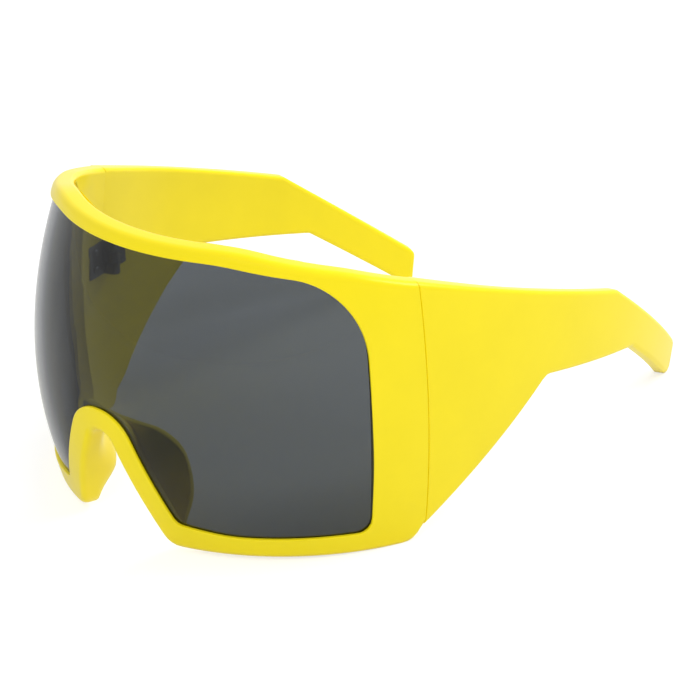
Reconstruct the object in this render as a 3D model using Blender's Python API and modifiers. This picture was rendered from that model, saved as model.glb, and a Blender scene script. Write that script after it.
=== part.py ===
"""Wrap-round shield sunglasses: one moulded front, one large lens and two broad folding temples.

Every moulded piece starts as a flat plate. Across the plate runs the arc, the length measured along
the outer face from the middle of the nose. Up it runs the height above the rims' lower edge. Through
it runs the depth, from the outer face towards the wearer. The plate is then bent over one wrap surface
that the front, the lens and the temples share, so that they flow into each other at the end seams.
+X is the wearer's left, +Y points backwards along the temples and +Z is up.
"""

import math

import bmesh
import bpy
from mathutils import Matrix, Vector

# Wrap surface
FRONT_RADIUS = 0.0735
TEMPLE_RADIUS = 0.203
MIDDLE_BOW_RADIUS = 0.123
END_BOW_RADIUS = 0.224
BOW_HEIGHT = 0.0387
SEAM_ARC = 0.1008

# Front frame
FRAME_HEIGHT = 0.0903
FRONT_THICKNESS = 0.0065
FRONT_EDGE_ROUND = 0.0018
BROW_HEIGHT = 0.0035
BROW_LEVEL_ARC = 0.045
BROW_KNEE_ARC = 0.080
BROW_KNEE_DROP = 0.0062
SEAM_TOP_DROP = 0.0118
BROW_SOFT_RADIUS = 0.090
RIM_HEIGHT = 0.0067
RIM_CORNER_ARC = 0.0033
RIM_CORNER_RADIUS = 0.007
SEAM_FOOT_HEIGHT = 0.0049

# Lens opening, the groove round it and the lens in the groove
END_PIECE_WIDTH = 0.0173
OPENING_SHOULDER_ARC = 0.0435
OPENING_SHOULDER_DROP = 0.0063
OPENING_TOP_RADIUS = 0.0265
OPENING_FOOT_RADIUS = 0.004
OPENING_NOSE_RADIUS = 0.0035
OPENING_NOSE_LIFT = 0.0020
BRIDGE_HEIGHT = 0.007
BRIDGE_SIDE_WIDTH = 0.0079
ARCH_RADIUS = 0.013
LIP_THICKNESS = 0.0009
GROOVE_DEPTH = 0.0016
LENS_THICKNESS = 0.002
CLEARANCE = 0.0003

# Nose notch and the thin flange behind it, which flares outwards into the two nose pads
NOTCH_HALF_WIDTH = 0.020
NOTCH_TOP_HALF_WIDTH = 0.0033
NOTCH_HEIGHT = 0.0328
NOTCH_TOP_RADIUS = 0.005
NOTCH_FOOT_RADIUS = 0.006
FLANGE_THICKNESS = 0.0020
FLANGE_INSET = 0.0003
FLANGE_ROOT = 0.0018
FLANGE_FOOT = 0.0016
PAD_FOOT_ARC = 0.0224
PAD_ARC = 0.0240
PAD_TOP = 0.0356
PAD_MIDDLE_DROP = 0.0014
PAD_SHOULDER_RADIUS = 0.0095
PAD_REACH = 0.0080
PAD_REACH_SHARES = ((0.04, 0.05), (0.14, 0.30), (0.25, 0.64), (0.37, 0.95), (0.50, 1.0), (0.62, 0.92),
                    (0.75, 0.74), (0.88, 0.46), (0.97, 0.24), (1.0, 0.22))
FLANGE_STATIONS = 13
FLANGE_ROWS = 4

# Temples
TEMPLE_THICKNESS = 0.0044
TEMPLE_TAPER_ARC = 0.035
TEMPLE_EDGE_ROUND = 0.0014
BEND_ARC = 0.0815
BEND_HEIGHT = 0.0515
TAIL_ARC = 0.0472
TAIL_WIDTH = 0.0094
TAIL_FOOT_ARC = 0.0048
TAIL_TOE_ARC = 0.0016
NECK_WIDTH = 0.0214
NECK_SETBACK = 0.009
CHEEK_ARC = 0.0452
CHEEK_WIDTH = 0.0255
BEND_ROUND = 0.0025
CHEEK_ROUND = 0.004
TAIL_ROUND = 0.0026
TAIL_TOE_ROUND = 0.004

# Hinges
HINGE_HEIGHT = 0.050
SEAM_GAP = 0.0003
SWING_CLEARANCE = 0.0001
KNUCKLE_COUNT = 3
KNUCKLE_RADIUS = 0.0020
KNUCKLE_HEIGHT = 0.0033
LEAF_THICKNESS = 0.0012
LEAF_LENGTH = 0.009
PIN_RADIUS = 0.0007
SCREW_HEAD_RADIUS = 0.0016
SCREW_HEAD_HEIGHT = 0.0008
SLOT_WIDTH = 0.0004
SLOT_DEPTH = 0.0004
RIVET_RADIUS = 0.0006
RIVET_HEAD_RADIUS = 0.0013
RIVET_HEAD_HEIGHT = 0.0005
RIVET_CROWN_SHARE = 0.6
RIVET_SPREAD = 0.0056
RIVET_SETBACK = 0.0058
RIVET_HOLD = 0.0025

# Rest on a table
LEAN = math.radians(3)
REST_ARC = 0.091
FOOT_FLAT = 0.0003

# Fineness of the meshes, and how far a cutter runs past what it cuts
ARC_STEP = 0.006
HEIGHT_STEP = 0.0095
FILLET_TURN = math.radians(15)
FLAT_TURN = math.radians(1)
SHARP_TURN = math.radians(35)
FILLET_LIMIT_SHARE = 0.48
ROUND_STEPS = 2
ROD_SIDES = 16
OVERRUN = 0.004
WELD = 0.00001


def plan(arc):
    """Place and heading of the wrap surface, seen from above, at an arc on the wearer's left."""
    front_turn = min(arc, SEAM_ARC) / FRONT_RADIUS
    turn = front_turn + max(arc - SEAM_ARC, 0) / TEMPLE_RADIUS
    across = FRONT_RADIUS * math.sin(front_turn)
    across += TEMPLE_RADIUS * (math.sin(turn) - math.sin(front_turn))
    back = FRONT_RADIUS * (1 - math.cos(front_turn))
    back += TEMPLE_RADIUS * (math.cos(front_turn) - math.cos(turn))
    return across, back, turn


def bow(arc, height):
    """How far the surface falls inwards above and below its fullest height."""
    end_share = (min(arc, SEAM_ARC) / SEAM_ARC) ** 2
    curve = (1 - end_share) / MIDDLE_BOW_RADIUS + end_share / END_BOW_RADIUS
    return curve * (height - BOW_HEIGHT) ** 2 / 2


SEAM_TOP = FRAME_HEIGHT - SEAM_TOP_DROP
OPENING_TOP = FRAME_HEIGHT - BROW_HEIGHT
OPENING_ARC = SEAM_ARC - END_PIECE_WIDTH
NOTCH_SLOPE = math.atan2(NOTCH_HEIGHT, NOTCH_HALF_WIDTH - NOTCH_TOP_HALF_WIDTH)
LENS_FRONT = LIP_THICKNESS + CLEARANCE
GROOVE_BACK = LENS_FRONT + LENS_THICKNESS + CLEARANCE
TAIL_END_ARC = SEAM_ARC + BEND_ARC + TAIL_ARC
HINGE_HALF = (KNUCKLE_COUNT * KNUCKLE_HEIGHT + (KNUCKLE_COUNT - 1) * CLEARANCE) / 2
SCREW_TOP = HINGE_HEIGHT + HINGE_HALF + CLEARANCE + SCREW_HEAD_HEIGHT
AXIS_INSET = FRONT_THICKNESS + max(
    bow(SEAM_ARC, SEAM_TOP) + SWING_CLEARANCE,
    bow(SEAM_ARC, SCREW_TOP) + SCREW_HEAD_RADIUS + CLEARANCE,
)
LEAF_TOP = -(KNUCKLE_RADIUS + CLEARANCE)
LEAF_FLOOR = LEAF_TOP - LEAF_THICKNESS
POCKET_FLOOR = LEAF_FLOOR - CLEARANCE
HOLE_RADIUS = RIVET_RADIUS + CLEARANCE
ACROSS_MIRROR = Matrix.Scale(-1, 4, (1, 0, 0))


def wrap(arc, height, depth):
    """A point of the flat plate, bent onto the wrap surface."""
    side = math.copysign(1, arc)
    across, back, turn = plan(abs(arc))
    inset = bow(abs(arc), height) + depth
    return Vector((side * (across - inset * math.sin(turn)), back + inset * math.cos(turn), height))


def temple_wrap(arc, height, depth):
    """The same for a temple, which thins behind the seam."""
    taper_share = min(max(arc - SEAM_ARC, 0) / TEMPLE_TAPER_ARC, 1)
    smooth_share = taper_share * taper_share * (3 - 2 * taper_share)
    thickness = FRONT_THICKNESS + (TEMPLE_THICKNESS - FRONT_THICKNESS) * smooth_share
    return wrap(arc, height, depth * thickness / FRONT_THICKNESS)


def rounded(corners):
    """A closed outline from corners (x, y, fillet radius), each fillet limited by its two sides."""
    points = []
    for index, (x, y, radius) in enumerate(corners):
        here = Vector((x, y))
        before = Vector(corners[index - 1][:2]) - here
        after = Vector(corners[(index + 1) % len(corners)][:2]) - here
        turn = math.pi - before.angle(after)
        if radius == 0 or turn < FLAT_TURN:
            points.append(here)
            continue
        longest = min(before.length, after.length) * FILLET_LIMIT_SHARE
        reach = min(radius * math.tan(turn / 2), longest)
        radius = reach / math.tan(turn / 2)
        middle = before.normalized() + after.normalized()
        centre = here + middle.normalized() * math.hypot(radius, reach)
        start = here + before.normalized() * reach - centre
        way = 1 if before.x * after.y - before.y * after.x < 0 else -1
        steps = max(2, math.ceil(turn / FILLET_TURN))
        for step in range(steps + 1):
            points.append(centre + Matrix.Rotation(way * turn * step / steps, 2) @ start)
    return points


def both_sides(half):
    """A half outline from the middle outwards and back, followed by its mirror image."""
    mirrored = [(-x, y, radius) for x, y, radius in reversed(half)]
    return half + mirrored


def baked(thing):
    """The evaluated mesh of an object, in its own coordinates."""
    graph = bpy.context.evaluated_depsgraph_get()
    return bpy.data.meshes.new_from_object(thing.evaluated_get(graph))


def written(form, name):
    """A new mesh that holds an edited form."""
    mesh = bpy.data.meshes.new(name)
    form.to_mesh(mesh)
    form.free()
    return mesh


def cutter(name, mesh, parent=None):
    """An object in the cutters' collection."""
    thing = bpy.data.objects.new(name, mesh)
    thing.parent = parent
    thing.hide_render = True
    thing.display_type = "WIRE"
    cutters.objects.link(thing)
    return thing


def plate(name, outline, front, back):
    """A flat plate with this outline between two depths. Depth runs along -Z."""
    data = bpy.data.curves.new(name, "CURVE")
    data.dimensions = "2D"
    data.fill_mode = "BOTH"
    data.extrude = (back - front) / 2
    spline = data.splines.new("POLY")
    spline.points.add(len(outline) - 1)
    for point, place in zip(spline.points, outline):
        point.co = (place.x, place.y, 0, 1)
    spline.use_cyclic_u = True
    curve = bpy.data.objects.new(name, data)
    cutters.objects.link(curve)
    mesh = baked(curve)
    mesh.transform(curve.matrix_world)
    bpy.data.objects.remove(curve, do_unlink=True)
    form = bmesh.new()
    form.from_mesh(mesh)
    bmesh.ops.remove_doubles(form, verts=form.verts, dist=WELD)
    bmesh.ops.translate(form, verts=form.verts, vec=(0, 0, -(front + back) / 2))
    bmesh.ops.dissolve_limit(form, angle_limit=FLAT_TURN, verts=form.verts, edges=form.edges)
    bmesh.ops.recalc_face_normals(form, faces=form.faces)
    return cutter(name, written(form, name))


def round_edges(thing, radius, seam):
    """Rounds the long edges of a plate, apart from those at its seam."""
    form = bmesh.new()
    form.from_mesh(thing.data)
    edges = []
    for edge in form.edges:
        first, last = (vert.co for vert in edge.verts)
        at_seam = all(abs(abs(end.x) - seam) < WELD for end in (first, last))
        if abs(first.z - last.z) < WELD and not at_seam:
            edges.append(edge)
    bmesh.ops.bevel(
        form, geom=edges, offset=radius, segments=ROUND_STEPS, profile=0.5, affect="EDGES", clamp_overlap=True
    )
    form.to_mesh(thing.data)
    form.free()


def box_form(low, high):
    """A box between two corners."""
    form = bmesh.new()
    size = [top - bottom for bottom, top in zip(low, high)]
    middle = [(top + bottom) / 2 for bottom, top in zip(low, high)]
    bmesh.ops.create_cube(form, size=1, matrix=Matrix.Translation(middle) @ Matrix.Diagonal((*size, 1)))
    return form


def box(name, low, high, parent):
    return cutter(name, written(box_form(low, high), name), parent)


def rod(name, radius, low, high, place, parent):
    """A round rod along its own Z from low to high, moved by a matrix."""
    form = bmesh.new()
    bmesh.ops.create_cone(
        form, cap_ends=True, segments=ROD_SIDES, radius1=radius, radius2=radius, depth=high - low,
        matrix=place @ Matrix.Translation((0, 0, (low + high) / 2)),
    )
    return cutter(name, written(form, name), parent)


def turned(name, profile):
    """A closed turned mesh from a profile of (radius, height) that starts and ends on the axis."""
    form = bmesh.new()
    verts = [form.verts.new((radius, 0, height)) for radius, height in profile]
    edges = [form.edges.new(pair) for pair in zip(verts, verts[1:])]
    bmesh.ops.spin(
        form, geom=verts + edges, axis=(0, 0, 1), cent=(0, 0, 0), angle=math.tau, steps=ROD_SIDES, use_merge=True
    )
    bmesh.ops.remove_doubles(form, verts=form.verts, dist=WELD)
    bmesh.ops.recalc_face_normals(form, faces=form.faces)
    return written(form, name)


def combine(thing, tool, operation="DIFFERENCE"):
    """Cuts a tool from a piece, or joins it on."""
    change = thing.modifiers.new(tool.name, "BOOLEAN")
    change.operation = operation
    change.solver = "EXACT"
    change.object = tool


def bend(thing, surface):
    """Divides a flat plate on a grid and bends it over a surface. Returns the bent mesh."""
    form = bmesh.new()
    form.from_mesh(baked(thing))
    bpy.data.objects.remove(thing, do_unlink=True)
    for axis, step in ((Vector((1, 0, 0)), ARC_STEP), (Vector((0, 1, 0)), HEIGHT_STEP)):
        places = [axis.dot(vert.co) for vert in form.verts]
        for index in range(math.ceil(min(places) / step), math.floor(max(places) / step) + 1):
            geometry = form.verts[:] + form.edges[:] + form.faces[:]
            bmesh.ops.bisect_plane(form, geom=geometry, dist=WELD, plane_co=axis * index * step, plane_no=axis)
    bmesh.ops.triangulate(form, faces=form.faces)
    bmesh.ops.remove_doubles(form, verts=form.verts, dist=WELD)
    bmesh.ops.dissolve_degenerate(form, edges=form.edges, dist=WELD)
    for vert in form.verts:
        vert.co = surface(vert.co.x, vert.co.y, -vert.co.z)
    return written(form, "bent")


def placed(name, mesh, parent, finish):
    """The named object of a piece, under its parent, with its material and smooth shading."""
    mesh.materials.clear()
    mesh.materials.append(finish)
    mesh.shade_smooth()
    mesh.set_sharp_from_angle(angle=SHARP_TURN)
    thing = bpy.data.objects.new(name, mesh)
    thing.parent = parent
    parts.objects.link(thing)
    return thing


def mirrored(piece, parent):
    """The wearer's right piece, as the mirror image of the left one."""
    mesh = baked(piece)
    mesh.transform(parent.matrix_world.inverted() @ ACROSS_MIRROR @ piece.matrix_world)
    mesh.flip_normals()
    return placed(piece.name.replace("left", "right"), mesh, parent, mesh.materials[0])


def front_outline():
    seam = SEAM_ARC - SEAM_GAP / 2
    return rounded(both_sides([
        (NOTCH_TOP_HALF_WIDTH, NOTCH_HEIGHT, NOTCH_TOP_RADIUS),
        (NOTCH_HALF_WIDTH, 0, NOTCH_FOOT_RADIUS),
        (SEAM_ARC - RIM_CORNER_ARC, 0, RIM_CORNER_RADIUS),
        (seam, SEAM_FOOT_HEIGHT, 0),
        (seam, SEAM_TOP, 0),
        (BROW_KNEE_ARC, FRAME_HEIGHT - BROW_KNEE_DROP, BROW_SOFT_RADIUS),
        (BROW_LEVEL_ARC, FRAME_HEIGHT, BROW_SOFT_RADIUS),
    ]))


def opening_outline(offset):
    """The lens opening, widened all round by an offset. Its inner flanks run along the notch."""
    arch_top = NOTCH_HEIGHT + BRIDGE_HEIGHT - offset
    nose_foot = RIM_HEIGHT + OPENING_NOSE_LIFT - offset
    flank = NOTCH_HALF_WIDTH + (BRIDGE_SIDE_WIDTH - offset) / math.sin(NOTCH_SLOPE)
    side = OPENING_ARC + offset
    top = OPENING_TOP + offset
    return rounded(both_sides([
        (flank - arch_top / math.tan(NOTCH_SLOPE), arch_top, ARCH_RADIUS - offset),
        (flank - nose_foot / math.tan(NOTCH_SLOPE), nose_foot, OPENING_NOSE_RADIUS + offset),
        (OPENING_ARC / 2, RIM_HEIGHT - offset, BROW_SOFT_RADIUS),
        (side, RIM_HEIGHT - offset, OPENING_FOOT_RADIUS + offset),
        (side, top - OPENING_SHOULDER_DROP, OPENING_TOP_RADIUS + offset),
        (OPENING_ARC - OPENING_SHOULDER_ARC, top, BROW_SOFT_RADIUS),
    ]))


def stations(corners):
    """Points at even steps along an open half outline, from its foot to the middle."""
    line = rounded(corners)
    lengths = [0]
    for before, after in zip(line, line[1:]):
        lengths.append(lengths[-1] + (after - before).length)
    points = []
    for index in range(FLANGE_STATIONS):
        along = lengths[-1] * index / (FLANGE_STATIONS - 1)
        step = min(sum(length <= along for length in lengths), len(line) - 1)
        share = (along - lengths[step - 1]) / (lengths[step] - lengths[step - 1])
        points.append(line[step - 1].lerp(line[step], share))
    return points


def pad_reach(height):
    """How far the flange's rim stands behind the front's back face at this height."""
    share = min(max(height / PAD_TOP, PAD_REACH_SHARES[0][0]), 1)
    for (low, low_reach), (high, high_reach) in zip(PAD_REACH_SHARES, PAD_REACH_SHARES[1:]):
        if share <= high:
            return PAD_REACH * (low_reach + (high_reach - low_reach) * (share - low) / (high - low))


def flange():
    """The flange round the notch: it leaves the front along the notch and flares out to the pads' rim."""
    offset = FLANGE_INSET + FLANGE_THICKNESS / 2
    root_top = NOTCH_HEIGHT + offset
    root_foot = NOTCH_HALF_WIDTH + offset / math.sin(NOTCH_SLOPE) - FLANGE_FOOT / math.tan(NOTCH_SLOPE)
    root_half = root_foot - (root_top - FLANGE_FOOT) / math.tan(NOTCH_SLOPE)
    root_line = stations([
        (root_foot, FLANGE_FOOT, 0),
        (root_half, root_top, NOTCH_TOP_RADIUS + offset),
        (0, root_top, 0),
    ])
    rim_line = stations([
        (PAD_FOOT_ARC, FLANGE_FOOT, 0),
        (PAD_ARC, PAD_TOP, PAD_SHOULDER_RADIUS),
        (0, PAD_TOP - PAD_MIDDLE_DROP, 0),
    ])
    form = bmesh.new()
    rows = []
    for row in range(FLANGE_ROWS + 1):
        turn = math.pi / 2 * row / FLANGE_ROWS
        half = []
        for start, end in zip(root_line, rim_line):
            place = start.lerp(end, 1 - math.cos(turn))
            reach = FLANGE_ROOT + pad_reach(end.y)
            half.append((place.x, place.y, FLANGE_ROOT - FRONT_THICKNESS - reach * math.sin(turn)))
        other = [(-x, y, z) for x, y, z in reversed(half[:-1])]
        rows.append([form.verts.new(place) for place in half + other])
    for lower, upper in zip(rows, rows[1:]):
        for index in range(len(lower) - 1):
            form.faces.new((lower[index], lower[index + 1], upper[index + 1], upper[index]))
    bmesh.ops.recalc_face_normals(form, faces=form.faces)
    sheet = cutter("flange", written(form, "flange"))
    shell = sheet.modifiers.new("shell", "SOLIDIFY")
    shell.thickness = FLANGE_THICKNESS
    shell.offset = 0
    return sheet


def make_front():
    thing = plate("front_plate", front_outline(), 0, FRONT_THICKNESS)
    round_edges(thing, FRONT_EDGE_ROUND, SEAM_ARC - SEAM_GAP / 2)
    combine(thing, plate("lens_opening", opening_outline(0), -OVERRUN, FRONT_THICKNESS + OVERRUN))
    combine(thing, plate("lens_groove", opening_outline(GROOVE_DEPTH), LIP_THICKNESS, GROOVE_BACK))
    combine(thing, flange(), "UNION")
    return placed("front_frame", bend(thing, wrap), root, yellow)


def make_lens():
    outline = opening_outline(GROOVE_DEPTH - CLEARANCE)
    thing = plate("lens_plate", outline, LENS_FRONT, LENS_FRONT + LENS_THICKNESS)
    return placed("shield_lens", bend(thing, wrap), root, grey_lens)


def foot_height(arc):
    """Height of a foot at this arc that reaches a little below the table, to be trimmed flat."""
    return (plan(arc)[1] - plan(REST_ARC)[1]) * math.tan(LEAN)


def temple_outline():
    seam = SEAM_ARC + SEAM_GAP / 2
    bend_arc = SEAM_ARC + BEND_ARC
    cheek_top = SEAM_TOP - (SEAM_TOP - BEND_HEIGHT) * CHEEK_ARC / BEND_ARC
    heel_arc = TAIL_END_ARC - TAIL_FOOT_ARC
    toe_arc = TAIL_END_ARC - TAIL_TOE_ARC
    return rounded([
        (seam, SEAM_FOOT_HEIGHT, 0),
        (SEAM_ARC + CHEEK_ARC, cheek_top - CHEEK_WIDTH, CHEEK_ROUND),
        (bend_arc + NECK_SETBACK, BEND_HEIGHT - NECK_WIDTH, BEND_ROUND),
        (heel_arc, foot_height(heel_arc), TAIL_ROUND),
        (toe_arc, foot_height(toe_arc), TAIL_TOE_ROUND),
        (TAIL_END_ARC, foot_height(TAIL_END_ARC) + TAIL_WIDTH, TAIL_ROUND / 2),
        (bend_arc, BEND_HEIGHT, BEND_ROUND),
        (seam, SEAM_TOP, 0),
    ])


def make_temple(pivot):
    thing = plate("temple_plate", temple_outline(), 0, FRONT_THICKNESS)
    round_edges(thing, TEMPLE_EDGE_ROUND, SEAM_ARC + SEAM_GAP / 2)
    mesh = bend(thing, temple_wrap)
    mesh.transform(pivot.matrix_local.inverted())
    return placed("left_temple", mesh, pivot, yellow)


def hinge_place():
    """The left hinge axis. Local X runs back along the seam's heading, local Y inwards."""
    across, back, turn = plan(SEAM_ARC)
    centre = (across - AXIS_INSET * math.sin(turn), back + AXIS_INSET * math.cos(turn), HINGE_HEIGHT)
    return Matrix.Translation(centre) @ Matrix.Rotation(turn, 4, "Z")


def rivet_places(side):
    """Name and place of one leaf's two rivets, on the front for side -1 and on the temple for 1."""
    inwards = Matrix.Rotation(math.radians(-90), 4, "X")
    upper = Matrix.Translation((side * RIVET_SETBACK, 0, RIVET_SPREAD / 2)) @ inwards
    lower = Matrix.Translation((side * RIVET_SETBACK, 0, -RIVET_SPREAD / 2)) @ inwards
    return [("upper", upper), ("lower", lower)]


def span(side, near, far):
    """Two distances from the axis towards one side, as a low and a high place along local X."""
    return sorted((side * near, side * far))


def seat_leaf(moulding, side, hinge):
    """Gives a moulding the boss, the flat pocket and the two blind rivet holes for one leaf."""
    name = moulding.name + "_" + hinge.name
    reach = HINGE_HALF + CLEARANCE
    wall = FRONT_THICKNESS / 2 - AXIS_INSET
    low, high = span(side, SEAM_GAP / 2, LEAF_LENGTH + CLEARANCE)
    boss = box(name + "_boss", (low, wall, -reach), (high, POCKET_FLOOR, reach), hinge)
    combine(moulding, boss, "UNION")
    low, high = span(side, -OVERRUN, LEAF_LENGTH + CLEARANCE)
    combine(moulding, box(name + "_pocket", (low, POCKET_FLOOR, -reach), (high, OVERRUN, reach), hinge))
    for level, place in rivet_places(side):
        floor = POCKET_FLOOR - RIVET_HOLD
        combine(moulding, rod(name + "_hole_" + level, HOLE_RADIUS, floor, OVERRUN, place, hinge))


def make_leaf(name, side, levels, hinge):
    """One hinge leaf: its plate, its knuckles with their webs, the screw's bore and the rivet holes."""
    low, high = span(side, SEAM_GAP, LEAF_LENGTH)
    form = box_form((low, LEAF_FLOOR, -HINGE_HALF), (high, LEAF_TOP, HINGE_HALF))
    leaf = placed(name, written(form, name), hinge, dark_metal)
    low, high = span(side, SEAM_GAP, KNUCKLE_RADIUS)
    for level in levels:
        middle = level * (KNUCKLE_HEIGHT + CLEARANCE)
        bottom = middle - KNUCKLE_HEIGHT / 2
        top = middle + KNUCKLE_HEIGHT / 2
        combine(leaf, rod(f"{name}_knuckle_{level}", KNUCKLE_RADIUS, bottom, top, Matrix(), hinge), "UNION")
        web_floor = LEAF_FLOOR + LEAF_THICKNESS / 2
        combine(leaf, box(f"{name}_web_{level}", (low, web_floor, bottom), (high, 0, top), hinge), "UNION")
    reach = HINGE_HALF + OVERRUN
    combine(leaf, rod(name + "_bore", PIN_RADIUS + CLEARANCE, -reach, reach, Matrix(), hinge))
    for level, place in rivet_places(side):
        combine(leaf, rod(name + "_hole_" + level, HOLE_RADIUS, -OVERRUN, OVERRUN, place, hinge))
    return leaf


def make_screw(name, hinge):
    seat = HINGE_HALF + CLEARANCE
    head_top = seat + SCREW_HEAD_HEIGHT
    screw = placed(name, turned(name, [
        (0, head_top),
        (SCREW_HEAD_RADIUS, head_top),
        (SCREW_HEAD_RADIUS, seat),
        (PIN_RADIUS, seat),
        (PIN_RADIUS, -seat),
        (0, -seat),
    ]), hinge, dark_metal)
    low = (-SCREW_HEAD_RADIUS - OVERRUN, -SLOT_WIDTH / 2, head_top - SLOT_DEPTH)
    high = (SCREW_HEAD_RADIUS + OVERRUN, SLOT_WIDTH / 2, head_top + OVERRUN)
    combine(screw, box(name + "_slot", low, high, hinge))
    return screw


def make_rivet(name, place, hinge):
    seat = LEAF_TOP + CLEARANCE
    tip = POCKET_FLOOR - RIVET_HOLD + CLEARANCE
    mesh = turned(name, [
        (0, seat + RIVET_HEAD_HEIGHT),
        (RIVET_HEAD_RADIUS * RIVET_CROWN_SHARE, seat + RIVET_HEAD_HEIGHT),
        (RIVET_HEAD_RADIUS, seat),
        (RIVET_RADIUS, seat),
        (RIVET_RADIUS, tip),
        (0, tip),
    ])
    mesh.transform(place)
    return placed(name, mesh, hinge, dark_metal)


def empty(name, parent, place):
    thing = bpy.data.objects.new(name, None)
    thing.empty_display_size = KNUCKLE_RADIUS
    thing.parent = parent
    thing.matrix_local = place
    parts.objects.link(thing)
    return thing


def material(name, colour, roughness, metallic=0.0, transmission=0.0):
    made = bpy.data.materials.new(name)
    made.use_nodes = True
    shader = made.node_tree.nodes["Principled BSDF"]
    shader.inputs["Base Color"].default_value = (*colour, 1)
    shader.inputs["Roughness"].default_value = roughness
    shader.inputs["Metallic"].default_value = metallic
    shader.inputs["Transmission Weight"].default_value = transmission
    return made


for old in list(bpy.data.objects):
    bpy.data.objects.remove(old, do_unlink=True)
parts = bpy.data.collections.new("sunglasses")
cutters = bpy.data.collections.new("cutters")
cutters.hide_render = True
for collection in (parts, cutters):
    bpy.context.scene.collection.children.link(collection)

yellow = material("yellow_plastic", (0.95, 0.78, 0.03), 0.35)
grey_lens = material("grey_lens", (0.05, 0.055, 0.06), 0.08, transmission=0.6)
dark_metal = material("dark_metal", (0.12, 0.12, 0.12), 0.4, metallic=1.0)

# The frame leans back until the rims' corners and the temple tips all stand on the table.
lift = plan(REST_ARC)[1] * math.sin(LEAN) - FOOT_FLAT * math.cos(LEAN)
root = empty("frame_root", None, Matrix.Translation((0, 0, lift)) @ Matrix.Rotation(-LEAN, 4, "X"))
left_pivot = empty("left_pivot", root, hinge_place())
right_pivot = empty("right_pivot", root, ACROSS_MIRROR @ hinge_place() @ ACROSS_MIRROR)
bpy.context.view_layer.update()
table = box("table", (-TAIL_END_ARC, -TAIL_END_ARC, -TAIL_END_ARC), (TAIL_END_ARC, TAIL_END_ARC, 0), None)

front_frame = make_front()
seat_leaf(front_frame, -1, left_pivot)
seat_leaf(front_frame, 1, right_pivot)
combine(front_frame, table)
make_lens()

left_temple = make_temple(left_pivot)
seat_leaf(left_temple, 1, left_pivot)
combine(left_temple, table)

left_pieces = [left_temple]
left_pieces.append(make_leaf("left_front_leaf", -1, (-1, 1), left_pivot))
left_pieces.append(make_leaf("left_temple_leaf", 1, (0,), left_pivot))
left_pieces.append(make_screw("left_hinge_screw", left_pivot))
for side, owner in ((-1, "front"), (1, "temple")):
    for level, place in rivet_places(side):
        left_pieces.append(make_rivet(f"left_{owner}_rivet_{level}", place, left_pivot))
bpy.context.view_layer.update()
for piece in left_pieces:
    mirrored(piece, right_pivot)

# The origin lies on the table, under the middle of the whole object.
backs = []
for piece in (front_frame, left_temple):
    backs += [(piece.matrix_world @ vert.co).y for vert in baked(piece).vertices]
root.location.y = -(min(backs) + max(backs)) / 2
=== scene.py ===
"""Wrap-round shield sunglasses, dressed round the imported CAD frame.

+X is the wearer's left, +Y points backwards along the temples and +Z is up.
"""

import math

import bpy
import numpy as np
from mathutils import Matrix, Vector


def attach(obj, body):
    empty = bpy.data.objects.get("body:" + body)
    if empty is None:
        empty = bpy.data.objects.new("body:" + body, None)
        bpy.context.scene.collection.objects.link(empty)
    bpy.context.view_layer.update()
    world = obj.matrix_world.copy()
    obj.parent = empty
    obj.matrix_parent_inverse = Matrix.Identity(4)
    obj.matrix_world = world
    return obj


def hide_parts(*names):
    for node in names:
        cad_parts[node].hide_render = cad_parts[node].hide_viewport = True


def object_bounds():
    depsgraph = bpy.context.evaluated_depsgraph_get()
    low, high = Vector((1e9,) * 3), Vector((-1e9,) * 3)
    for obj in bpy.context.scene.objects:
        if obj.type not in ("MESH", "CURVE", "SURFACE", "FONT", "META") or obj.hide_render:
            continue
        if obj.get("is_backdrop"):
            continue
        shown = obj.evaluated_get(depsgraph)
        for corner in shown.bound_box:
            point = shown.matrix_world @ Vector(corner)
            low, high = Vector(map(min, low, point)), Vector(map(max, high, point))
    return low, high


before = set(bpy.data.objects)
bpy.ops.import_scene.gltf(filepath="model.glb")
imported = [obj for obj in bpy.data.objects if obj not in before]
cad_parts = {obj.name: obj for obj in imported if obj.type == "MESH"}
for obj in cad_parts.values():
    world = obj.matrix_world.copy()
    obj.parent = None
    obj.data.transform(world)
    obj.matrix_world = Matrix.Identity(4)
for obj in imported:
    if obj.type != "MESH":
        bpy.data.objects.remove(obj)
bpy.context.view_layer.update()
cad_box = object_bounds()


# The moulded front: one injection moulding in yellow plastic, a rim that runs all round the lens and
# carries a thin flange behind the nose notch. It is laid out flat, by arc along the face and by height,
# and then bent over the wrap surface that the lens and the temples share.

FRONT_RADIUS = 0.0735
TEMPLE_RADIUS = 0.203
MIDDLE_BOW_RADIUS = 0.123
END_BOW_RADIUS = 0.224
BOW_HEIGHT = 0.0387
SEAM_ARC = 0.1008
SEAM_GAP = 0.0003
SEAM_FOOT = 0.0049
SEAM_TOP = 0.0785
FRONT_THICKNESS = 0.0065
LEAN = math.radians(3)
REST_ARC = 0.091
FOOT_FLAT = 0.0003
BACK_SHIFT = 0.093065


def plan(arc):
    """Place and heading of the wrap surface, seen from above, at an arc on the wearer's left."""
    front_turn = min(arc, SEAM_ARC) / FRONT_RADIUS
    turn = front_turn + max(arc - SEAM_ARC, 0) / TEMPLE_RADIUS
    across = FRONT_RADIUS * math.sin(front_turn)
    across += TEMPLE_RADIUS * (math.sin(turn) - math.sin(front_turn))
    back = FRONT_RADIUS * (1 - math.cos(front_turn))
    back += TEMPLE_RADIUS * (math.cos(front_turn) - math.cos(turn))
    return across, back, turn


def bow(arc, height):
    """How far the surface falls inwards above and below its fullest height."""
    end_share = (min(arc, SEAM_ARC) / SEAM_ARC) ** 2
    curve = (1 - end_share) / MIDDLE_BOW_RADIUS + end_share / END_BOW_RADIUS
    return curve * (height - BOW_HEIGHT) ** 2 / 2


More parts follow.
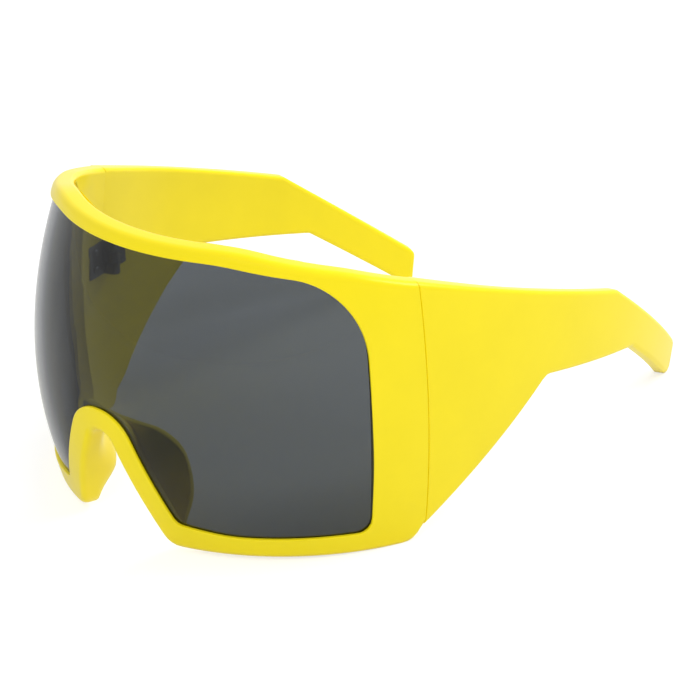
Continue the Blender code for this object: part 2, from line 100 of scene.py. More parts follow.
lift = plan(REST_ARC)[1] * math.sin(LEAN) - FOOT_FLAT * math.cos(LEAN)
standing = Matrix.Translation((0, -BACK_SHIFT, lift)) @ Matrix.Rotation(-LEAN, 4, "X")


def wrapped(arc, height, depth):
    """A point of the flat layout, on the standing glasses. Nothing reaches below the table."""
    side = math.copysign(1, arc)
    across, back, turn = plan(abs(arc))
    inset = bow(abs(arc), height) + depth
    across -= inset * math.sin(turn)
    back += inset * math.cos(turn)
    place = standing @ Vector((side * across, back, height))
    return Vector((place.x, place.y, max(place.z, 0)))


STRAIGHT = 0.01
LEAST_FILLET = 0.0001
FLAT_TURN = math.radians(1)
FILLET_STEP = math.radians(3)
FILLET_LIMIT_SHARE = 0.48


def moved_in(corners, amounts):
    """Moves each side of an outline inwards, and keeps its fillets parallel.

    Corners are (x, y, fillet radius), and amount i moves the side after corner i.
    """
    moved = []
    for index, (x, y, fillet) in enumerate(corners):
        here = Vector((x, y))
        before = (here - Vector(corners[index - 1][:2])).normalized()
        after = (Vector(corners[(index + 1) % len(corners)][:2]) - here).normalized()
        turn = before.x * after.y - before.y * after.x
        first, second = amounts[index - 1], amounts[index]
        if abs(turn) < STRAIGHT:
            place = here + Vector((-before.y, before.x)) * (first + second) / 2
        else:
            place = here + (after * first - before * second) / turn
        if fillet:
            fillet = max(fillet - math.copysign(1, turn) * min(first, second, key=abs), LEAST_FILLET)
        moved.append((place.x, place.y, fillet))
    return moved


def rounded(corners):
    """A closed outline from corners (x, y, fillet radius), each fillet limited by its two sides."""
    points = []
    for index, (x, y, radius) in enumerate(corners):
        here = Vector((x, y))
        before = Vector(corners[index - 1][:2]) - here
        after = Vector(corners[(index + 1) % len(corners)][:2]) - here
        turn = math.pi - before.angle(after)
        if radius == 0 or turn < FLAT_TURN:
            points.append(here)
            continue
        limit = min(before.length, after.length) * FILLET_LIMIT_SHARE
        reach = min(radius * math.tan(turn / 2), limit)
        radius = reach / math.tan(turn / 2)
        middle = (before.normalized() + after.normalized()).normalized()
        centre = here + middle * math.hypot(radius, reach)
        start = here + before.normalized() * reach - centre
        way = 1 if before.x * after.y - before.y * after.x < 0 else -1
        steps = max(2, math.ceil(turn / FILLET_STEP))
        for step in range(steps + 1):
            points.append(centre + Matrix.Rotation(way * turn * step / steps, 2) @ start)
    return points


def walked(corners, keys, counts):
    """Points along a rounded outline, a set count from key to key.

    A key is a place on the outline: 4 is nearest to corner 4, and 4.5 is midway from there to corner 5.
    """
    line = rounded(corners)
    line = np.array(line + line[:1])
    steps = np.diff(line, axis=0)
    lengths = np.linalg.norm(steps, axis=1)
    ends = np.concatenate(([0], np.cumsum(lengths)))
    stops = []
    for key in keys:
        low = math.floor(key)
        first = np.array(corners[low % len(corners)][:2])
        second = np.array(corners[(low + 1) % len(corners)][:2])
        corner = first + (second - first) * (key - low)
        share = np.clip(((corner - line[:-1]) * steps).sum(axis=1) / lengths**2, 0, 1)
        gaps = np.linalg.norm(line[:-1] + steps * share[:, None] - corner, axis=1)
        stop = ends[gaps.argmin()] + share[gaps.argmin()] * lengths[gaps.argmin()]
        while stops and stop <= stops[-1] + 1e-9:
            stop += ends[-1]
        stops.append(stop)
    stretches = zip(stops, stops[1:], counts)
    along = [np.linspace(low, high, count, endpoint=False) for low, high, count in stretches]
    along = np.concatenate(along + [stops[-1:]]) % ends[-1]
    return np.column_stack([np.interp(along, ends, line[:, axis]) for axis in (0, 1)])


def mirrored_half(half):
    """A whole outline from the corners of its half on the wearer's left, from the nose up to the brow."""
    return half + [(-x, y, fillet) for x, y, fillet in reversed(half)]


front_corners = mirrored_half([
    (0.0033, 0.0328, 0.005),
    (0.0200, 0, 0.006),
    (0.0975, 0, 0.007),
    (SEAM_ARC - SEAM_GAP / 2, SEAM_FOOT, 0),
    (SEAM_ARC - SEAM_GAP / 2, SEAM_TOP, 0),
    (0.0800, 0.0841, 0.090),
    (0.0450, 0.0903, 0.090),
])
opening_corners = mirrored_half([
    (0.0086, 0.0398, 0.013),
    (0.0244, 0.0087, 0.0035),
    (0.0418, 0.0067, 0.090),
    (0.0835, 0.0067, 0.004),
    (0.0835, 0.0805, 0.0265),
    (0.0400, 0.0868, 0.090),
])

# Both outlines are walked in legs with equal counts, so that their points can be joined one to one.
FRONT_KEYS = (-0.5, 1, 3, 4, 6.5, 9, 10, 12, 13.5)
OPENING_KEYS = (-0.5, 1, 3, 4, 5.5, 7, 8, 10, 11.5)
NOTCH_COUNT = 28
LEG_COUNTS = (NOTCH_COUNT, 44, 40, 56, 56, 40, 44, NOTCH_COUNT)


def outer_line(rim, notch=None):
    """The front's outline, moved in by one amount along the rims and another along the nose notch."""
    notch = rim if notch is None else notch
    amounts = [notch, rim, rim, 0, rim, rim, rim, rim, rim, 0, rim, rim, notch, notch]
    return walked(moved_in(front_corners, amounts), FRONT_KEYS, LEG_COUNTS)[:-1]


def opening_line(out):
    """The outline of the lens opening, moved out into the rim."""
    moved = moved_in(opening_corners, [-out] * len(opening_corners))
    return walked(moved, OPENING_KEYS, LEG_COUNTS)[:-1]


def at_depth(line, depth):
    """Flat places (arc, height, depth) along a line, all at one depth behind the face."""
    return np.column_stack([line, np.full(len(line), depth)])


QUARTER = [math.radians(step * 15) for step in range(7)]
EDGE_ROUND = 0.0018
FLANGE_THICKNESS = 0.0020
FLANGE_ROOT = 0.0013
FLANGE_EDGE = 0.0006
FLANGE_FLUSH = 0.0003
FLANGE_ROWS = 9
FLANGE_TURNS = 25
CROSSING_MARGIN = 0.0001
RIM_TURNS = ((1, 1), (0.92, 0.38), (0.7, 0.08), (0.3, 0), (-0.3, 0), (-0.7, 0.08), (-0.92, 0.38), (-1, 1))
PAD_TOP = 0.0356
PAD_DIP = 0.0014
PAD_DIP_ARC = 0.014
pad_corners = (
    (0.0224, 0.0016, 0),
    (0.0240, PAD_TOP, 0.0095),
    (-0.0240, PAD_TOP, 0.0095),
    (-0.0224, 0.0016, 0),
)
PAD_HEIGHT_SHARES = (0.04, 0.14, 0.25, 0.37, 0.50, 0.62, 0.75, 0.88, 0.97, 1.0)
PAD_REACHES = (0.0004, 0.0024, 0.0051, 0.0076, 0.0080, 0.0074, 0.0059, 0.0037, 0.0019, 0.0018)
PAD_SMOOTHING = 3


def resampled(line, count):
    """Evenly spaced points along a line through space."""
    ends = np.concatenate(([0], np.cumsum(np.linalg.norm(np.diff(line, axis=0), axis=1))))
    along = np.linspace(0, ends[-1], count)
    return np.column_stack([np.interp(along, ends, line[:, axis]) for axis in range(3)])


def flange_curves():
    """The nose flange round the notch, by place: a curve from the wall over the pad's edge to the back."""
    root = outer_line(FLANGE_ROOT)
    rim = np.array([(x, y, 0) for x, y in rounded(pad_corners)])
    rim[:, 1] -= PAD_DIP * np.clip(1 - np.abs(rim[:, 0]) / PAD_DIP_ARC, 0, 1)
    rim = resampled(rim, 2 * NOTCH_COUNT + 1)[:, :2]
    heights = np.clip(rim[:, 1] / PAD_TOP, PAD_HEIGHT_SHARES[0], 1)
    reach = np.interp(heights, PAD_HEIGHT_SHARES, PAD_REACHES)
    for _ in range(PAD_SMOOTHING):
        reach[1:-1] = (reach[:-2] + 2 * reach[1:-1] + reach[2:]) / 4
    turns = np.linspace(0, math.pi / 2, FLANGE_TURNS)
    places = [index % len(root) for index in range(NOTCH_COUNT, -NOTCH_COUNT - 1, -1)]
    middle = np.zeros((len(places), len(turns), 3))
    for row, place in enumerate(places):
        middle[row, :, :2] = root[place] + (rim[row] - root[place]) * (1 - np.cos(turns))[:, None]
        middle[row, :, 2] = FRONT_THICKNESS - EDGE_ROUND + (EDGE_ROUND + reach[row]) * np.sin(turns)
    across = np.gradient(middle, axis=0)
    along = np.gradient(middle, axis=1)
    inward = np.cross(across, along)
    inward /= np.linalg.norm(inward, axis=2)[:, :, None]
    along /= np.linalg.norm(along, axis=2)[:, :, None]
    wall = outer_line(0)
    half = FLANGE_THICKNESS / 2
    flush = FLANGE_FLUSH * np.linspace(1, 0, len(turns))[:, None] ** 2
    curves = {}
    for row, place in enumerate(places):
        towards = wall[place] - root[place]
        way = math.copysign(1, towards @ inward[row, 0, :2])
        length = np.linalg.norm(np.diff(middle[row], axis=0), axis=1).sum()
        edge = min(FLANGE_EDGE, length / 5)
        keep = max(2, int(len(turns) * (1 - edge / length)))
        inner = (middle[row] + way * inward[row] * (half + flush))[:keep]
        outer = (middle[row] - way * inward[row] * half)[:keep][::-1]
        end, out = middle[row, -1], along[row, -1]
        lip = [end + way * inward[row, -1] * half * side - out * edge * back for side, back in RIM_TURNS]
        crossing = outer[:, 2] > FRONT_THICKNESS + CROSSING_MARGIN
        outer = outer[:max(2, crossing.sum())]
        curves[place] = np.vstack([resampled(np.vstack([inner, lip[:1]]), FLANGE_ROWS), lip[1:-1],
                                   resampled(np.vstack([lip[-1:], outer]), FLANGE_ROWS)])
    return curves


OPENING_ROUND = 0.0004
EDGE_HOLD = 0.0003
BACK_HOLD = 0.0002
FLANGE_CLEAR = 0.0027
FLARE = 0.0024
FLARE_SMOOTHING = 60
NARROW_RIM = 0.0038
LIP_SETBACK = 0.0005
LIP_BACK = 0.0039
GROOVE_FRONT = 0.001
GROOVE_BACK = 0.0035
GROOVE_DEPTH = 0.0016


def front_loops():
    """Loops round the rim: the opening's front edge, the face, the wall, the back and the lens groove.

    Behind the groove the opening flares towards the back where the rim is broad enough for it.
    """
    loops = [at_depth(opening_line(OPENING_ROUND * (1 - math.cos(turn))),
                      OPENING_ROUND * (1 - math.sin(turn))) for turn in QUARTER[::2]]
    inner = at_depth(opening_line(OPENING_ROUND + EDGE_HOLD), 0)
    outer = at_depth(outer_line(EDGE_ROUND + EDGE_HOLD), 0)
    loops += [inner + (outer - inner) * step / 5 for step in range(6)]
    loops += [at_depth(outer_line(EDGE_ROUND * (1 - math.sin(turn))), EDGE_ROUND * (1 - math.cos(turn)))
              for turn in QUARTER]

    turns = np.linspace(0, math.pi / 2, 2 * FLANGE_ROWS + len(RIM_TURNS) - 2)
    behind = [at_depth(outer_line(EDGE_ROUND * (1 - math.cos(turn))),
                       FRONT_THICKNESS - EDGE_ROUND * (1 - math.sin(turn))) for turn in turns]
    for place, curve in flange_curves().items():
        for loop, point in zip(behind, curve):
            loop[place] = point
    loops += behind

    room = np.linalg.norm(outer_line(0) - opening_line(0), axis=1)
    share = np.clip((room - NARROW_RIM) / FLARE, 0, 1)
    for _ in range(FLARE_SMOOTHING):
        share = (np.roll(share, 1) + 2 * share + np.roll(share, -1)) / 4
    share = share[:, None]
    flared = (opening_line(FLARE) - opening_line(0)) * share
    outer = at_depth(outer_line(EDGE_ROUND + BACK_HOLD, FLANGE_CLEAR), FRONT_THICKNESS)
    inner = at_depth(opening_line(OPENING_ROUND + EDGE_HOLD) + flared, FRONT_THICKNESS)
    loops += [outer + (inner - outer) * step / 4 for step in range(5)]
    loops += [at_depth(opening_line(OPENING_ROUND * (1 - math.sin(turn))) + flared,
                       FRONT_THICKNESS - OPENING_ROUND * (1 - math.cos(turn))) for turn in QUARTER[::2]]

    lip = opening_line(0) * (1 - share) + opening_line(LIP_SETBACK) * share
    loops += [at_depth(lip, LIP_BACK), at_depth(lip, GROOVE_BACK)]
    groove = ((GROOVE_DEPTH, GROOVE_BACK), (GROOVE_DEPTH, GROOVE_FRONT), (0, GROOVE_FRONT))
    loops += [at_depth(opening_line(out), depth) for out, depth in groove]
    return np.array(loops + loops[:1])


MERGE_REACH = 0.000002
MOULDED_SHARP = math.radians(35)


def moulded(name, sheets):
    """One closed body from sheets of places that meet at their borders."""
    bpy.ops.object.select_all(action="DESELECT")
    made = []
    for places in sheets:
        rows, columns = places.shape[:2]
        bpy.ops.mesh.primitive_grid_add(x_subdivisions=columns - 1, y_subdivisions=rows - 1, size=2)
        thing = bpy.context.object
        flat = np.array([vert.co for vert in thing.data.vertices])
        column = np.rint((flat[:, 0] + 1) / 2 * (columns - 1)).astype(int)
        row = np.rint((flat[:, 1] + 1) / 2 * (rows - 1)).astype(int)
        thing.data.vertices.foreach_set("co", places[row, column].ravel())
        made.append(thing)
    for thing in made:
        thing.select_set(True)
    bpy.context.view_layer.objects.active = made[0]
    if len(made) > 1:
        bpy.ops.object.join()
    body = bpy.context.object
    body.name = body.data.name = name
    bpy.ops.object.mode_set(mode="EDIT")
    bpy.ops.mesh.select_all(action="SELECT")
    bpy.ops.mesh.remove_doubles(threshold=MERGE_REACH)
    bpy.ops.mesh.normals_make_consistent(inside=False)
    bpy.ops.object.mode_set(mode="OBJECT")
    bpy.ops.object.shade_smooth_by_angle(angle=MOULDED_SHARP)
    return body


def bent(places, surface):
    """Flat places, a last axis of arc, height and depth, laid on a surface."""
    flat = places.reshape(-1, 3)
    return np.array([surface(*place) for place in flat.tolist()]).reshape(places.shape)


SEAM_MARGIN = 0.0001
SEAM_GROOVE = 0.0003
SEAM_HAIR = 0.00001


def tightened(places, way):
    """Closes the seam to a hair below a shallow groove: the two mouldings butt when the temple is open."""
    arcs, depths = np.abs(places[..., 0]), places[..., 2]
    butt = (np.abs(arcs - SEAM_ARC) < SEAM_GAP / 2 + SEAM_MARGIN) & (depths > SEAM_GROOVE)
    closed = (SEAM_ARC - way * SEAM_HAIR) * np.sign(places[..., 0])
    places[..., 0] = np.where(butt, closed, places[..., 0])
    return places


# Beside the foot of the notch, the rim thins towards the back.
THIN_HEIGHT = 0.012
THIN_ARC = 0.034
THIN_FADE = 0.010
THIN_DEPTH = 0.0036
THIN_SHARE = 0.5

loops = front_loops()
loops = tightened(np.concatenate([loops, loops[:, :1]], axis=1), 1)
low = np.clip(1 - loops[..., 1] / THIN_HEIGHT, 0, 1)
low = low * np.clip((THIN_ARC - np.abs(loops[..., 0])) / THIN_FADE, 0, 1)
loops[..., 2] -= np.maximum(loops[..., 2] - THIN_DEPTH, 0) * THIN_SHARE * low * low * (3 - 2 * low)
front = moulded("moulded_front", [bent(loops, wrapped)])


def add(tree, kind, *inputs, settings=None, **sockets):
    """A shader node. Plain values go on its sockets, sockets are linked to them."""
    node = tree.nodes.new("ShaderNode" + kind)
    for name, value in (settings or {}).items():
        setattr(node, name, value)
    named = [(name.replace("_", " "), value) for name, value in sockets.items()]
    for key, value in list(enumerate(inputs)) + named:
        if isinstance(value, bpy.types.NodeSocket):
            tree.links.new(value, node.inputs[key])
        elif value is not None:
            node.inputs[key].default_value = value
    return node


def group(name, outputs):
    """An empty shader group with Object coordinates and named outputs, to be filled."""
    tree = bpy.data.node_groups.new(name, "ShaderNodeTree")
    for label, kind in outputs:
        tree.interface.new_socket(label, in_out="OUTPUT", socket_type=kind)
    return tree, tree.nodes.new("NodeGroupOutput"), add(tree, "TexCoord").outputs["Object"]


def shader(name, colour, roughness):
    """A material with one Principled shader, with its tree."""
    material = bpy.data.materials.new(name)
    material.use_nodes = True
    tree = material.node_tree
    tree.nodes.clear()
    surface = add(tree, "BsdfPrincipled", Base_Color=colour, Roughness=roughness)
    add(tree, "OutputMaterial", surface.outputs[0])
    return material, tree, surface


# Fine grain, slow mottling and hair scratches, shared by everything that is moulded.
grain, grain_out, place = group("moulded_grain", [
    ("Mottle", "NodeSocketFloat"), ("Rub", "NodeSocketFloat"), ("Normal", "NodeSocketVector")])
mottle = add(grain, "TexNoise", place, Scale=55.0, Detail=4.0, Roughness=0.6)
fine = add(grain, "TexNoise", place, Scale=2600.0, Detail=3.0, Roughness=0.65)
stretch = add(grain, "Mapping", place, None, (0.4, 0.9, 0.2), (5200.0, 160.0, 2400.0))
hair = add(grain, "TexNoise", stretch.outputs[0], Scale=0.22, Detail=2.0, Roughness=0.5)
lines = add(grain, "MapRange", hair.outputs[0], 0.68, 0.78, 0.0, 0.6)
rub = add(grain, "Math", lines.outputs[0], mottle.outputs[0], settings={"operation": "MULTIPLY"})
bump = add(grain, "Bump", Strength=0.055, Distance=0.00006, Height=fine.outputs[0])
grain.links.new(mottle.outputs[0], grain_out.inputs[0])
grain.links.new(rub.outputs[0], grain_out.inputs[1])
grain.links.new(bump.outputs[0], grain_out.inputs[2])

YELLOW = (0.94, 0.765, 0.004, 1)
yellow, tree, surface = shader("yellow_plastic", YELLOW, 0.3)
detail = tree.nodes.new("ShaderNodeGroup")
detail.node_tree = grain
tone = add(tree, "MapRange", detail.outputs["Mottle"], 0.3, 0.7, 0.98, 1.02)
tint = add(tree, "HueSaturation", 0.5, 1.0, tone.outputs[0], 1.0, YELLOW)
gloss = add(tree, "MapRange", detail.outputs["Rub"], 0.0, 0.6, 0.28, 0.31)
tree.links.new(tint.outputs[0], surface.inputs["Base Color"])
tree.links.new(gloss.outputs[0], surface.inputs["Roughness"])
tree.links.new(detail.outputs["Normal"], surface.inputs["Normal"])
surface.inputs["IOR"].default_value = 1.5
surface.inputs["Specular IOR Level"].default_value = 0.3
front.data.materials.append(yellow)
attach(front, "front")
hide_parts("front_frame")


# The shield lens: one sheet of grey tinted plastic, 2 mm thick, cut along the opening and bent to the same
# wrap. It is sprung into the groove round the opening, which hides its edge.

LENS_FRONT = 0.0012
LENS_THICKNESS = 0.002
LENS_SWELL = 0.0011
LENS_SWELL_POWER = 0.7
LENS_HOLD = 0.0013
LENS_END_INSET = 0.00002
LENS_GREY = (0.101, 0.114, 0.129, 1)


def lens_face(columns=280, rows=72):
    """The front of the sheet by columns, each from its lower edge in the groove to its upper one."""
    edge = np.array(rounded(moved_in(opening_corners, [-LENS_HOLD] * len(opening_corners))))
    reach = edge[:, 0].max() - LENS_END_INSET
    arcs = np.linspace(-reach, reach, columns)
    loop = np.vstack([edge, edge[:1]])
    first, second = loop[:-1], loop[1:]
    ends = []
    for arc in arcs:
        over = (first[:, 0] - arc) * (second[:, 0] - arc) <= 0
        share = (arc - first[over, 0]) / (second[over, 0] - first[over, 0] + 1e-12)
        crossings = first[over, 1] + np.clip(share, 0, 1) * (second[over, 1] - first[over, 1])
        ends.append((crossings.min(), crossings.max()))
    low, high = np.array(ends).T
    share = np.linspace(0, 1, rows)[:, None]
    heights = low + (high - low) * share
    depths = LENS_FRONT - LENS_SWELL * np.sin(math.pi * share**LENS_SWELL_POWER)
    return np.stack([np.broadcast_to(arcs, heights.shape), heights,
                     np.broadcast_to(depths, heights.shape)], axis=2)


face = lens_face()
behind = face + (0, 0, LENS_THICKNESS)
border = [np.concatenate([sheet[0], sheet[1:, -1], sheet[-1, -2::-1], sheet[-2::-1, 0]])
          for sheet in (face, behind)]
lens = moulded("tinted_lens", [bent(sheet, wrapped) for sheet in (face, behind, np.stack(border))])

# Painted shade: the lens is darker towards its lower edge, standing in for the table's shadow seen through
# it.
# A shadow passes through the lens as through clear grey.
glass = bpy.data.materials.new("grey_lens")
glass.use_nodes = True
tree = glass.node_tree
tree.nodes.clear()
surface = add(tree, "BsdfPrincipled", Base_Color=LENS_GREY, Roughness=0.02, IOR=1.33,
              Transmission_Weight=1.0)
coordinates = add(tree, "TexCoord").outputs["Object"]
smear = add(tree, "TexNoise", coordinates, Scale=45.0, Detail=5.0, Roughness=0.6, Distortion=0.6)
dull = add(tree, "MapRange", smear.outputs[0], 0.45, 0.8, 0.012, 0.05)
tree.links.new(dull.outputs[0], surface.inputs["Roughness"])
height = add(tree, "SeparateXYZ", coordinates)
# painted shade: the tint darkens below 26 mm height, for the table's shadow seen through the lens
painted_low_shade = add(tree, "MapRange", height.outputs["Z"], 0.006, 0.026, 0.72, 1.0)
tint = add(tree, "HueSaturation", 0.5, 1.0, painted_low_shade.outputs[0], 1.0, LENS_GREY)
tree.links.new(tint.outputs[0], surface.inputs["Base Color"])
clear = add(tree, "BsdfTransparent", (0.45, 0.46, 0.47, 1))
ray = add(tree, "LightPath").outputs["Is Shadow Ray"]
mixed = add(tree, "MixShader", ray, surface.outputs[0], clear.outputs[0])
add(tree, "OutputMaterial", mixed.outputs[0])
lens.data.materials.append(glass)
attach(lens, "front")
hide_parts("shield_lens")


# The temples: two mouldings in the same yellow plastic, mirror images, as deep as the front at the seam
# and stepping down to a narrow tail. They thin behind the seam and every edge but the seam's is rounded.

TEMPLE_THICKNESS = 0.0044
TEMPLE_TAPER_ARC = 0.035
TEMPLE_ROUND = 0.0014
SEAM_ROUND_SHARE = 0.06
CHEEK_ARC = 0.0452
CHEEK_WIDTH = 0.0255
BEND_ARC = 0.0815
BEND_HEIGHT = 0.0515
NECK_SETBACK = 0.009
NECK_WIDTH = 0.0214
TAIL_ARC = 0.0472
TAIL_WIDTH = 0.0094
TAIL_FOOT_ARC = 0.0048
TAIL_TOE_ARC = 0.0016
TAIL_END = SEAM_ARC + BEND_ARC + TAIL_ARC
TAIL_FOOT = TAIL_END - TAIL_FOOT_ARC
TAIL_TOE = TAIL_END - TAIL_TOE_ARC


def temple_wrapped(arc, height, depth):
    """The wrap for a temple, which thins behind the seam."""
    share = min(max(abs(arc) - SEAM_ARC, 0) / TEMPLE_TAPER_ARC, 1)
    thickness = FRONT_THICKNESS + (TEMPLE_THICKNESS - FRONT_THICKNESS) * share * share * (3 - 2 * share)
    return wrapped(arc, height, depth * thickness / FRONT_THICKNESS)


def foot_height(arc):
    """Height of the table in the flat layout, which leans: nil at the arc where the front rests."""
    return (plan(arc)[1] - plan(REST_ARC)[1]) * math.tan(LEAN)


temple_corners = [
    (SEAM_ARC + SEAM_GAP / 2, SEAM_FOOT, 0),
    (SEAM_ARC + CHEEK_ARC, SEAM_TOP - (SEAM_TOP - BEND_HEIGHT) * CHEEK_ARC / BEND_ARC - CHEEK_WIDTH, 0.004),
    (SEAM_ARC + BEND_ARC + NECK_SETBACK, BEND_HEIGHT - NECK_WIDTH, 0.0025),
    (TAIL_FOOT, foot_height(TAIL_FOOT), 0.0026),
    (TAIL_TOE, foot_height(TAIL_TOE), 0.004),
    (TAIL_END, foot_height(TAIL_END) + TAIL_WIDTH, 0.0028),
    (SEAM_ARC + BEND_ARC, BEND_HEIGHT, 0.0025),
    (SEAM_ARC + SEAM_GAP / 2, SEAM_TOP, 0),
]
TEMPLE_KEYS = (0, 1, 2, 4, 5, 6, 6.5546, 7, 8)
SIDE_COUNTS = (26, 30, 40)
END_COUNT = 24


def temple_loop(amount):
    """The temple's outline, moved in by one amount everywhere but at the seam."""
    corners = moved_in(temple_corners, [amount] * 7 + [amount * SEAM_ROUND_SHARE])
    counts = (*SIDE_COUNTS, END_COUNT, *SIDE_COUNTS[::-1], END_COUNT)
    return walked(corners, TEMPLE_KEYS, counts)


def filled(loop):
    """A sheet inside a loop whose sides are the lower rail, the end, the upper rail and the seam."""
    side = sum(SIDE_COUNTS)
    low, end = loop[:side + 1], loop[side:side + END_COUNT + 1]
    high, seam = loop[side + END_COUNT:2 * side + END_COUNT + 1][::-1], loop[2 * side + END_COUNT:][::-1]
    u = np.linspace(0, 1, side + 1)[None, :, None]
    v = np.linspace(0, 1, END_COUNT + 1)[:, None, None]
    corners = (1 - u) * ((1 - v) * low[0] + v * high[0]) + u * ((1 - v) * low[-1] + v * high[-1])
    return (1 - v) * low + v * high + (1 - u) * seam[:, None] + u * end[:, None] - corners


def temple_sheets():
    """The outer face, the rounded edge all round and the inner face."""
    rings = [at_depth(temple_loop(TEMPLE_ROUND * (1 - math.sin(turn))), TEMPLE_ROUND * (1 - math.cos(turn)))
             for turn in QUARTER]
    rings += [ring * (1, 1, -1) + (0, 0, FRONT_THICKNESS) for ring in rings[::-1]]
    rings = tightened(np.array(rings), -1)
    return [filled(rings[0]), rings, filled(rings[-1])]


for side, body in ((1, "left_arm"), (-1, "right_arm")):
    sheets = [bent(sheet * (side, 1, 1), temple_wrapped) for sheet in temple_sheets()]
    temple = moulded("temple_" + body.split("_")[0], sheets)
    temple.data.materials.append(yellow)
    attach(temple, body)
    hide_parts(body.split("_")[0] + "_temple")


# The hinges: on each side two stamped leaves with rolled knuckles, a slotted screw and four rivets, all in
# dark plated metal. The leaves lie in the inner faces, and the rivets are headed over them.

metal, tree, surface = shader("dark_metal", (0.12, 0.12, 0.12, 1), 0.3)
surface.inputs["Metallic"].default_value = 1.0
coordinates = add(tree, "TexCoord").outputs["Object"]
stretch = add(tree, "Mapping", coordinates, None, None, (9000.0, 9000.0, 400.0))
brushed = add(tree, "TexNoise", stretch.outputs[0], Scale=0.35, Detail=3.0)
worn = add(tree, "TexNoise", coordinates, Scale=420.0, Detail=4.0)
gloss = add(tree, "MapRange", brushed.outputs[0], 0.3, 0.7, 0.22, 0.42)
tone = add(tree, "MapRange", worn.outputs[0], 0.35, 0.75, 0.8, 1.5)
tint = add(tree, "HueSaturation", 0.5, 1.0, tone.outputs[0], 1.0, (0.12, 0.118, 0.115, 1))
relief = add(tree, "Bump", Strength=0.12, Distance=0.00003, Height=brushed.outputs[0])
tree.links.new(gloss.outputs[0], surface.inputs["Roughness"])
tree.links.new(tint.outputs[0], surface.inputs["Base Color"])
tree.links.new(relief.outputs[0], surface.inputs["Normal"])

FLAT_JOIN = math.radians(1)
METAL_EDGE = math.radians(50)
METAL_SHARP = math.radians(38)
LEAF_EDGE = 0.00012
SCREW_EDGE = 0.00008
RIVET_EDGE = 0.00005

for side in ("left", "right"):
    arm = side + "_arm"
    for piece, body, edge in (
        ("front_leaf", "front", LEAF_EDGE),
        ("temple_leaf", arm, LEAF_EDGE),
        ("hinge_screw", "front", SCREW_EDGE),
        ("front_rivet_upper", "front", RIVET_EDGE),
        ("front_rivet_lower", "front", RIVET_EDGE),
        ("temple_rivet_upper", arm, RIVET_EDGE),
        ("temple_rivet_lower", arm, RIVET_EDGE),
    ):
        node = bpy.data.objects[side + "_" + piece]
        bpy.ops.object.select_all(action="DESELECT")
        copy = bpy.data.objects.new(side + "_" + piece + "_metal", node.data.copy())
        bpy.context.scene.collection.objects.link(copy)
        copy.matrix_world = node.matrix_world
        copy.select_set(True)
        bpy.context.view_layer.objects.active = copy
        bpy.ops.object.transform_apply(location=True, rotation=True, scale=True)
        bpy.ops.object.mode_set(mode="EDIT")
        bpy.ops.mesh.select_all(action="SELECT")
        bpy.ops.mesh.remove_doubles(threshold=MERGE_REACH)
        bpy.ops.mesh.dissolve_limited(angle_limit=FLAT_JOIN)
        bpy.ops.object.mode_set(mode="OBJECT")
        soft = copy.modifiers.new("edge", "BEVEL")
        soft.width = edge
        soft.segments = 2
        soft.limit_method = "ANGLE"
        soft.angle_limit = METAL_EDGE
        bpy.ops.object.modifier_apply(modifier="edge")
        bpy.ops.object.shade_smooth_by_angle(angle=METAL_SHARP)
        copy.data.materials.clear()
        copy.data.materials.append(metal)
        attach(copy, body)
        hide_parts(side + "_" + piece)


# The studio: a white table and a white surround, as in a catalogue photograph, with soft lamps above and
# behind and one above the camera, which stands where the photograph was taken from.


def seen_rays(tree):
    """Light Path, and 1 on every ray that shows the surround: direct, reflected or through the lens."""
    path = add(tree, "LightPath").outputs
    seen = add(tree, "Math", path["Is Camera Ray"], path["Is Glossy Ray"], settings={"operation": "ADD"})
    seen = add(tree, "Math", seen.outputs[0], path["Is Transmission Ray"],
               settings={"operation": "ADD", "use_clamp": True})
    return path, seen.outputs[0]


bpy.ops.mesh.primitive_plane_add(size=12, location=(0, 0, -0.00002))
floor = bpy.context.object
floor.name = "floor"
white = bpy.data.materials.new("white_floor")
white.use_nodes = True
tree = white.node_tree
tree.nodes.clear()

# Where the table is seen, it is a duller surface that glows a little, so that it is white and keeps the
# shadow. Through the lens it is a brighter surface without that glow. A ray through the lens counts as a
# glossy one too, so its values come last. The lamps' light falls off over the table, and a second glow
# grows with the distance in its place.
PLAIN_WHITE = (0.88, 0.88, 0.88, 1)
SEEN_WHITE = 0.45
THROUGH_WHITE = 0.86
SEEN_GLOW = 0.68
REFLECTED_GLOW = 0.45
FAR_GLOW = 0.74
FAR_GLOW_START = 0.3
FAR_GLOW_END = 1.6

path, seen = seen_rays(tree)
through = path["Is Transmission Ray"]
glow = add(tree, "Math", path["Is Glossy Ray"], REFLECTED_GLOW, settings={"operation": "MULTIPLY"})
glow = add(tree, "Math", path["Is Camera Ray"], SEEN_GLOW, glow.outputs[0],
           settings={"operation": "MULTIPLY_ADD"})
glow = add(tree, "MapRange", through, 0.0, 1.0, glow.outputs[0], 0.0)
whiteness = add(tree, "MapRange", through, 0.0, 1.0, SEEN_WHITE, THROUGH_WHITE)
away = add(tree, "VectorMath", add(tree, "TexCoord").outputs["Object"], settings={"operation": "LENGTH"})
far = add(tree, "MapRange", away.outputs["Value"], FAR_GLOW_START, FAR_GLOW_END, 0.0, FAR_GLOW)
glow = add(tree, "Math", far.outputs[0], whiteness.outputs[0], glow.outputs[0],
           settings={"operation": "MULTIPLY_ADD"})
shine = add(tree, "Emission", (1, 1, 1, 1), glow.outputs[0])
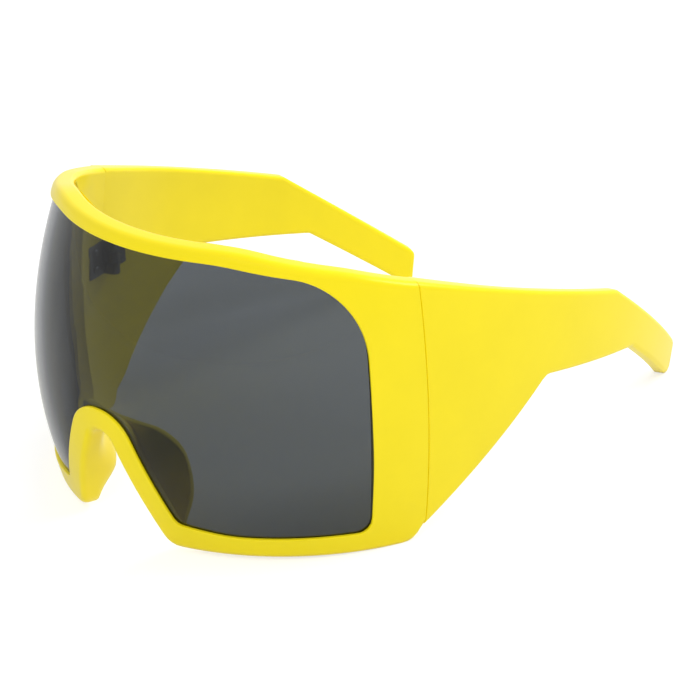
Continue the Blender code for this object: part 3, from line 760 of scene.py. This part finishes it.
dull = add(tree, "BsdfDiffuse", whiteness.outputs[0])
shown = add(tree, "AddShader", shine.outputs[0], dull.outputs[0])
plain = add(tree, "BsdfDiffuse", PLAIN_WHITE)
mixed = add(tree, "MixShader", seen, plain.outputs[0], shown.outputs[0])
add(tree, "OutputMaterial", mixed.outputs[0])
floor.data.materials.append(white)
floor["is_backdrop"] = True

WORLD_LIGHT = 0.48
world = bpy.data.worlds.new("studio")
bpy.context.scene.world = world
world.use_nodes = True
tree = world.node_tree
tree.nodes.clear()
path, seen = seen_rays(tree)
strength = add(tree, "MapRange", seen, 0.0, 1.0, WORLD_LIGHT, 1.0)
sky = add(tree, "Background", (1, 1, 1, 1), strength.outputs[0])
add(tree, "OutputWorld", sky.outputs[0])

right = Vector((0.70744, 0.70396, -0.06291))
up = Vector((-0.27190, 0.35324, 0.89515))
turned = Matrix((right, up, right.cross(up))).transposed().to_4x4()
camera_data = bpy.data.cameras.new("camera")
camera_data.lens = 167.26
camera_data.sensor_width = 36
camera_data.clip_start = 0.01
camera = bpy.data.objects.new("camera", camera_data)
bpy.context.scene.collection.objects.link(camera)
camera.matrix_world = Matrix.Translation((0.6376, -0.594365, 0.4529)) @ turned
bpy.context.scene.camera = camera

LIT_PLACE = Vector((0, 0, 0.04))
for name, place, size, power in (
    ("key", (0.70, 0.80, 0.95), (0.6, 0.4), 5.4),
    ("fill", (0.45, -0.90, 1.00), (0.7, 0.5), 7.3),
    ("back", (0.00, 1.10, 1.00), (0.7, 0.5), 10.6),
):
    data = bpy.data.lights.new(name, "AREA")
    data.shape = "RECTANGLE"
    data.size, data.size_y = size
    data.energy = power
    lamp = bpy.data.objects.new(name, data)
    bpy.context.scene.collection.objects.link(lamp)
    lamp.location = place
    lamp.visible_glossy = name == "key"
    lamp.visible_transmission = False
    lamp.rotation_euler = (LIT_PLACE - lamp.location).to_track_quat("-Z", "Y").to_euler()

bpy.context.scene.view_settings.view_transform = "Standard"

size = {"cad": [list(corner) for corner in cad_box], "visual": [list(corner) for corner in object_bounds()]}
